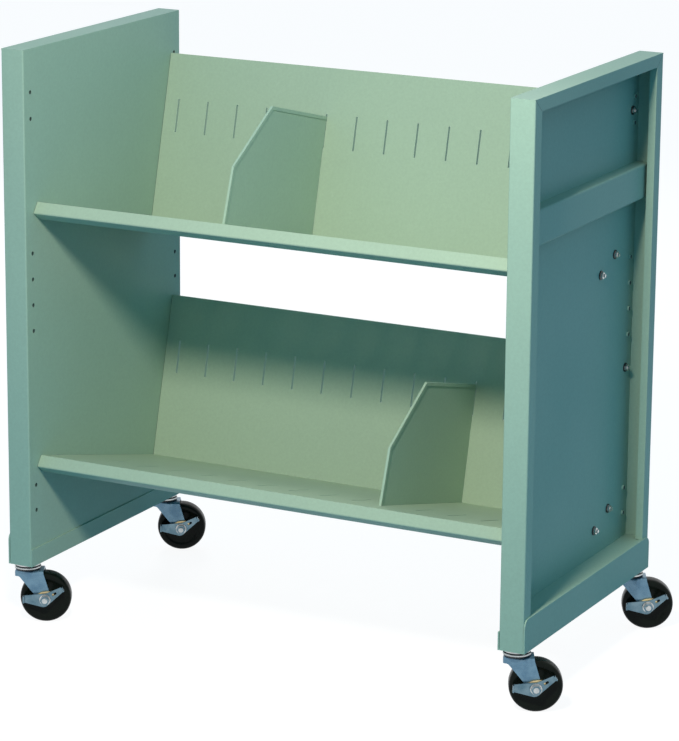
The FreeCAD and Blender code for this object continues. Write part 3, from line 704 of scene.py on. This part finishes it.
# the screws of each unit, as distance along its shelf and height above it
SCREW_PLACES = ((339.0 * MM, 229.5 * MM), (339.0 * MM, 23.7 * MM), (296.4 * MM, -8.0 * MM))
SCREW_LENGTH_OF_NUT = 1.6
WASHER_HEIGHT = 1.0 * MM
ROUND_SIDES = 28

END_LOW, END_HIGH = (Vector(corner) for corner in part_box("right_end_panel"))
LEFT_LOW, LEFT_HIGH = (Vector(corner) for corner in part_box("left_end_panel"))
MIDDLE_X = (LEFT_LOW.x + END_HIGH.x) / 2
INNER_HALF = END_LOW.x - MIDDLE_X


def shelf_point(unit, along, above, x=0.0):
    """Gives the place of a point set out along and above a tilted shelf, from its front edge."""
    y = END_LOW.y + SHELF_SETBACK + along * math.cos(SHELF_TILT) + above * math.sin(SHELF_TILT)
    z = SWIVEL_HEIGHT + SHELF_HEIGHTS[unit]
    z += above * math.cos(SHELF_TILT) - along * math.sin(SHELF_TILT)
    return Vector((MIDDLE_X + x, y, z))


def new_geometry(name, inputs):
    """Starts a geometry node tree that takes a mesh of points and named sizes."""
    tree = bpy.data.node_groups.new(name, "GeometryNodeTree")
    tree.interface.new_socket(name="Points", in_out="INPUT", socket_type="NodeSocketGeometry")
    for label, kind, value in inputs:
        socket = tree.interface.new_socket(name=label, in_out="INPUT", socket_type=kind)
        if value is not None:
            socket.default_value = value
    tree.interface.new_socket(name="Geometry", in_out="OUTPUT", socket_type="NodeSocketGeometry")
    return tree, tree.nodes.new("NodeGroupInput"), tree.nodes.new("NodeGroupOutput")


def finish_geometry(tree, into, out, shape, turn):
    """Puts the shape on each point, makes it real and gives it its finish."""
    spots = add_node(tree, "GeometryNodeInstanceOnPoints", None,
                     Points=into.outputs["Points"], Instance=shape, Rotation=turn)
    real = add_node(tree, "GeometryNodeRealizeInstances", None, Geometry=spots.outputs["Instances"])
    finish = add_node(tree, "GeometryNodeSetMaterial", None,
                      Geometry=real.outputs["Geometry"], Material=into.outputs["Finish"])
    tree.links.new(finish.outputs["Geometry"], out.inputs["Geometry"])
    return tree


def add_rod(tree, sides, radius, height):
    """Adds a rod that stands on its point, with its height given as a number or a socket."""
    rod = add_node(tree, "GeometryNodeMeshCylinder", None, Vertices=sides, Radius=radius, Depth=height)
    lift = add_node(tree, "ShaderNodeCombineXYZ", None, Z=math_node(tree, "MULTIPLY", height, 0.5))
    shift = add_node(tree, "GeometryNodeTransform", None,
                     Geometry=rod.outputs["Mesh"], Translation=lift.outputs[0])
    return shift.outputs["Geometry"]


def make_screw_tree():
    """Hexagon nut on a washer with the end of its screw, standing the way its point faces."""
    tree, into, out = new_geometry("shelf_screws", [
        ("Nut Radius", "NodeSocketFloat", 0.005), ("Nut Height", "NodeSocketFloat", 0.004),
        ("Washer Radius", "NodeSocketFloat", 0.006), ("Screw Radius", "NodeSocketFloat", 0.0025),
        ("Finish", "NodeSocketMaterial", None)])
    nut_height = into.outputs["Nut Height"]
    screw_height = math_node(tree, "MULTIPLY", nut_height, SCREW_LENGTH_OF_NUT)
    join = tree.nodes.new("GeometryNodeJoinGeometry")
    for label, sides, height in (("Washer Radius", ROUND_SIDES, WASHER_HEIGHT),
                                 ("Nut Radius", 6, nut_height), ("Screw Radius", 16, screw_height)):
        rod = add_rod(tree, sides, into.outputs[label], height)
        tree.links.new(rod, join.inputs["Geometry"])
    facing = add_node(tree, "GeometryNodeInputNamedAttribute", {"data_type": "FLOAT_VECTOR"}, Name="facing")
    align = add_node(tree, "FunctionNodeAlignRotationToVector", {"axis": "Z"},
                     Vector=facing.outputs["Attribute"])
    return finish_geometry(tree, into, out, join.outputs["Geometry"], align.outputs["Rotation"])


def make_collar_tree():
    """Short ring round each point, with its axis along X."""
    tree, into, out = new_geometry("hole_collars", [
        ("Radius", "NodeSocketFloat", 0.0033), ("Wall", "NodeSocketFloat", 0.0007),
        ("Depth", "NodeSocketFloat", 0.003), ("Finish", "NodeSocketMaterial", None)])
    ring = add_node(tree, "GeometryNodeCurvePrimitiveCircle", None,
                    Resolution=ROUND_SIDES, Radius=into.outputs["Radius"])
    section = add_node(tree, "GeometryNodeCurvePrimitiveQuadrilateral", None,
                       Width=into.outputs["Wall"], Height=into.outputs["Depth"])
    tube = add_node(tree, "GeometryNodeCurveToMesh", None,
                    Curve=ring.outputs["Curve"], Profile_Curve=section.outputs["Curve"])
    return finish_geometry(tree, into, out, tube.outputs["Mesh"], (0.0, math.pi / 2, 0.0))


def make_lip_tree():
    """Narrow block on each point, turned about X, for the lip behind one edge of a slot."""
    tree, into, out = new_geometry("slot_lips", [
        ("Size", "NodeSocketVector", (0.001, 0.006, 0.05)), ("Tilt", "NodeSocketFloat", 0.0),
        ("Finish", "NodeSocketMaterial", None)])
    block = add_node(tree, "GeometryNodeMeshCube", None, Size=into.outputs["Size"])
    turn = add_node(tree, "ShaderNodeCombineXYZ", None, X=into.outputs["Tilt"])
    return finish_geometry(tree, into, out, block.outputs["Mesh"], turn.outputs[0])


def repeat(name, tree, points, sizes, material, facing=None):
    """Runs a tree on a set of points and keeps the result as a plain piece of the cart's body."""
    mesh = bpy.data.meshes.new(name)
    mesh.from_pydata([tuple(point) for point in points], [], [])
    if facing is not None:
        data = mesh.attributes.new("facing", "FLOAT_VECTOR", "POINT")
        for item in data.data:
            item.vector = facing
    piece = bpy.data.objects.new(name, mesh)
    bpy.context.scene.collection.objects.link(piece)
    rule = piece.modifiers.new(name, "NODES")
    rule.node_group = tree
    sockets = {item.name: item.identifier for item in tree.interface.items_tree if item.in_out == "INPUT"}
    for label, value in sizes.items():
        rule[sockets[label]] = value
    rule[sockets["Finish"]] = material
    piece.update_tag()
    bake(piece)
    settle(piece, Matrix(), "cart")


def end_faces():
    """Gives each end's name, the outer side of its web and the direction outwards."""
    return (("right", END_LOW.x + END_WEB, 1), ("left", LEFT_HIGH.x - END_WEB, -1))


def fit_screws():
    """Nuts of the six screws that hold each unit, three on the outer side of either end, each ringed in
    black as painted shade.
    """
    nuts, rings = make_screw_tree(), make_collar_tree()
    nut_sizes = {"Nut Radius": 5.2 * MM, "Nut Height": 4.6 * MM, "Washer Radius": 5.2 * MM,
                 "Screw Radius": 2.5 * MM}
    ring_depth = 1.4 * MM
    ring_sizes = {"Radius": 5.5 * MM, "Wall": 2.2 * MM, "Depth": ring_depth}
    for side, face, sign in end_faces():
        spots, ring_spots = [], []
        for unit in SHELF_HEIGHTS:
            for along, above in SCREW_PLACES:
                point = shelf_point(unit, along, above)
                spots.append((face, point.y, point.z))
                ring_spots.append((face + sign * ring_depth / 2, point.y, point.z))
        repeat(f"{side}_shelf_screws", nuts, spots, nut_sizes, bright_zinc, (sign, 0, 0))
        # the black ring round each washer is painted shade round the foot of the nut
        repeat(f"{side}_nut_shade_rings", rings, ring_spots, ring_sizes, black_enamel)


def fit_collars():
    """Drawn collars round the holes of both ends, with a dark tube that goes through the web as painted
    shade inside each hole.
    """
    tree = make_collar_tree()
    depth, wall = 2.6 * MM, 0.6 * MM
    shade_wall, recess = 0.2 * MM, 0.05 * MM
    reach = END_WEB + depth - 2 * recess
    for side, face, sign in end_faces():
        collars, bore_shade_spots = [], []
        for y in (END_LOW.y + HOLE_INSET, END_HIGH.y - HOLE_INSET):
            for start, count in HOLE_STARTS:
                for step in range(count):
                    z = SWIVEL_HEIGHT + start + HOLE_PITCH * step
                    collars.append((face + sign * depth / 2, y, z))
                    bore_shade_spots.append((face + sign * (depth - END_WEB) / 2, y, z))
        sizes = {"Radius": HOLE_RADIUS + wall / 2, "Wall": wall, "Depth": depth}
        repeat(f"{side}_hole_collars", tree, collars, sizes, end_enamel)
        # the dark tube in each hole, in the seam_shadow colour, is painted shade in the bore
        sizes = {"Radius": HOLE_RADIUS - shade_wall / 2 + recess, "Wall": shade_wall, "Depth": reach}
        repeat(f"{side}_hole_painted_shade", tree, bore_shade_spots, sizes, seam_shadow)


def fit_slot_lips():
    """Turned lip behind the left edge of every slot of the backs."""
    tree = make_lip_tree()
    depth, thick = 6.0 * MM, 0.8 * MM
    along = SHELF_DEPTH + BACK_SHEET + depth / 2
    above = BACK_SLOT_LOW + BACK_SLOT_LENGTH / 2
    steps = int((INNER_HALF - SLOT_MARGIN) / SLOT_PITCH)
    sizes = {"Size": (thick, depth, BACK_SLOT_LENGTH), "Tilt": -SHELF_TILT}
    for unit in SHELF_HEIGHTS:
        points = []
        for index in range(-steps, steps + 1):
            x = index * SLOT_PITCH - SLOT_WIDTH / 2 - thick / 2
            points.append(shelf_point(unit, along, above, x))
        repeat(f"{unit}_slot_lips", tree, points, sizes, shelf_enamel)


def fit_corner_seams():
    """Fine mitre seams where the folded lips of each end meet at its top corners."""
    lip, top_lip, width = 21.5 * MM, 18.0 * MM, 0.45 * MM
    start_inset, sunk, proud = 0.6 * MM, 0.3 * MM, 0.02 * MM
    for side, face, sign in end_faces():
        outer = face + sign * (END_THICKNESS - END_WEB)
        low, high = outer - sign * sunk, outer + sign * proud
        work = bmesh.new()
        for edge, inward in ((END_LOW.y, 1), (END_HIGH.y, -1)):
            start = Vector((0, edge + inward * start_inset, END_HIGH.z - start_inset))
            end = Vector((0, edge + inward * lip, END_HIGH.z - top_lip))
            across = Vector((0, end.z - start.z, start.y - end.y)).normalized() * width / 2
            ring = [start + across, end + across, end - across, start - across]
            bottom = [work.verts.new((low, corner.y, corner.z)) for corner in ring]
            top = [work.verts.new((high, corner.y, corner.z)) for corner in ring]
            work.faces.new(bottom)
            work.faces.new(top)
            for k in range(len(ring)):
                work.faces.new((bottom[k - 1], bottom[k], top[k], top[k - 1]))
        seam = object_of(f"{side}_corner_seams", work)
        seam.data.materials.append(seam_shadow)
        settle(seam, Matrix(), "cart")


fit_screws()
fit_collars()
fit_slot_lips()
fit_corner_seams()


# View and light

# the photograph's camera, as fitted to points of the cart
CAMERA_PLACE = Vector((2.16666, -4.19828, 1.62635))
CAMERA_RIGHT = Vector((0.88684, 0.46201, 0.00784))
CAMERA_UP = Vector((-0.12409, 0.22179, 0.96717))
CAMERA_BACK = Vector((0.44511, -0.85869, 0.25403))
CAMERA_LENS = 164.3
CAMERA_SENSOR = 36.0

# name, place, target, width, power and colour of each lamp
LAMPS = (
    ("softbox", (0.46, -1.45, 1.65), (0.1, 0.0, 0.45), 0.25, 30, (1.0, 0.95, 0.84)),
    ("rear_softbox", (-1.7, 2.3, 1.7), (0.0, 0.0, 0.45), 1.0, 26, (1.0, 0.97, 0.92)),
)
ROOM_COLOUR = (0.22, 0.66, 1.0, 1)
ROOM_STRENGTH = 0.48
FLOOR_REACH = 20.0
FLOOR_COLOUR = (0.15, 0.37, 0.50, 1)
FLOOR_SHADE = (0.14, 0.14, 0.14, 1)
FLOOR_GLOW = 0.93


def place_camera():
    """Sets the camera where the photograph was taken from, without shift."""
    data = bpy.data.cameras.new("photo_camera")
    data.sensor_width = CAMERA_SENSOR
    data.lens = CAMERA_LENS
    data.clip_end = 100.0
    camera = bpy.data.objects.new("photo_camera", data)
    turn = Matrix((CAMERA_RIGHT, CAMERA_UP, CAMERA_BACK)).transposed()
    camera.matrix_world = Matrix.Translation(CAMERA_PLACE) @ turn.to_4x4()
    bpy.context.scene.collection.objects.link(camera)
    bpy.context.scene.camera = camera


def add_lamp(name, place, target, width, power, colour):
    """Adds a round softbox that isn't seen in reflections."""
    data = bpy.data.lights.new(name, "AREA")
    data.shape = "DISK"
    data.size = width
    data.energy = power
    data.color = colour
    lamp = bpy.data.objects.new(name, data)
    lamp.location = place
    lamp.rotation_euler = (Vector(target) - Vector(place)).to_track_quat("-Z", "Y").to_euler()
    lamp.visible_glossy = False
    bpy.context.scene.collection.objects.link(lamp)


def seen_rays(tree):
    """Tells the rays that show the surroundings, straight or mirrored, from those that light."""
    path = tree.nodes.new("ShaderNodeLightPath")
    return math_node(tree, "MAXIMUM", path.outputs["Is Camera Ray"], path.outputs["Is Glossy Ray"])


def mix_shaders(tree, factor, first, second):
    """Gives the first shader where the factor is 0 and the second where it is 1."""
    mix = tree.nodes.new("ShaderNodeMixShader")
    for socket, source in zip(mix.inputs, (factor, first.outputs[0], second.outputs[0])):
        tree.links.new(source, socket)
    return mix.outputs[0]


def light_scene():
    """Lights the cart with two softboxes and a dim blue room that looks white."""
    world = bpy.data.worlds.new("studio")
    bpy.context.scene.world = world
    world.use_nodes = True
    tree = world.node_tree
    room = tree.nodes["Background"]
    room.inputs["Color"].default_value = ROOM_COLOUR
    room.inputs["Strength"].default_value = ROOM_STRENGTH
    white = add_node(tree, "ShaderNodeBackground", None, Color=(1, 1, 1, 1), Strength=1.0)
    surface = mix_shaders(tree, seen_rays(tree), room, white)
    tree.links.new(surface, tree.nodes["World Output"].inputs["Surface"])
    for lamp in LAMPS:
        add_lamp(*lamp)


def lay_floor():
    """Lays a floor that looks white, with soft shadows, and gives back little, cool light."""
    mesh = bpy.data.meshes.new("floor")
    corners = [(x * FLOOR_REACH, y * FLOOR_REACH, 0) for x, y in ((-1, -1), (1, -1), (1, 1), (-1, 1))]
    mesh.from_pydata(corners, [], [(0, 1, 2, 3)])
    floor = bpy.data.objects.new("floor", mesh)
    bpy.context.scene.collection.objects.link(floor)
    material = bpy.data.materials.new("floor_white")
    material.use_nodes = True
    tree = material.node_tree
    ground = tree.nodes["Principled BSDF"]
    ground.inputs["Base Color"].default_value = FLOOR_COLOUR
    ground.inputs["Roughness"].default_value = 0.9
    ground.inputs["Specular IOR Level"].default_value = 0.0
    shade = add_node(tree, "ShaderNodeBsdfDiffuse", None, Color=FLOOR_SHADE)
    glow = add_node(tree, "ShaderNodeEmission", None, Strength=FLOOR_GLOW)
    white = tree.nodes.new("ShaderNodeAddShader")
    tree.links.new(shade.outputs[0], white.inputs[0])
    tree.links.new(glow.outputs[0], white.inputs[1])
    surface = mix_shaders(tree, seen_rays(tree), ground, white)
    tree.links.new(surface, tree.nodes["Material Output"].inputs["Surface"])
    mesh.materials.append(material)


place_camera()
light_scene()
lay_floor()
bpy.context.scene.view_settings.view_transform = "Standard"
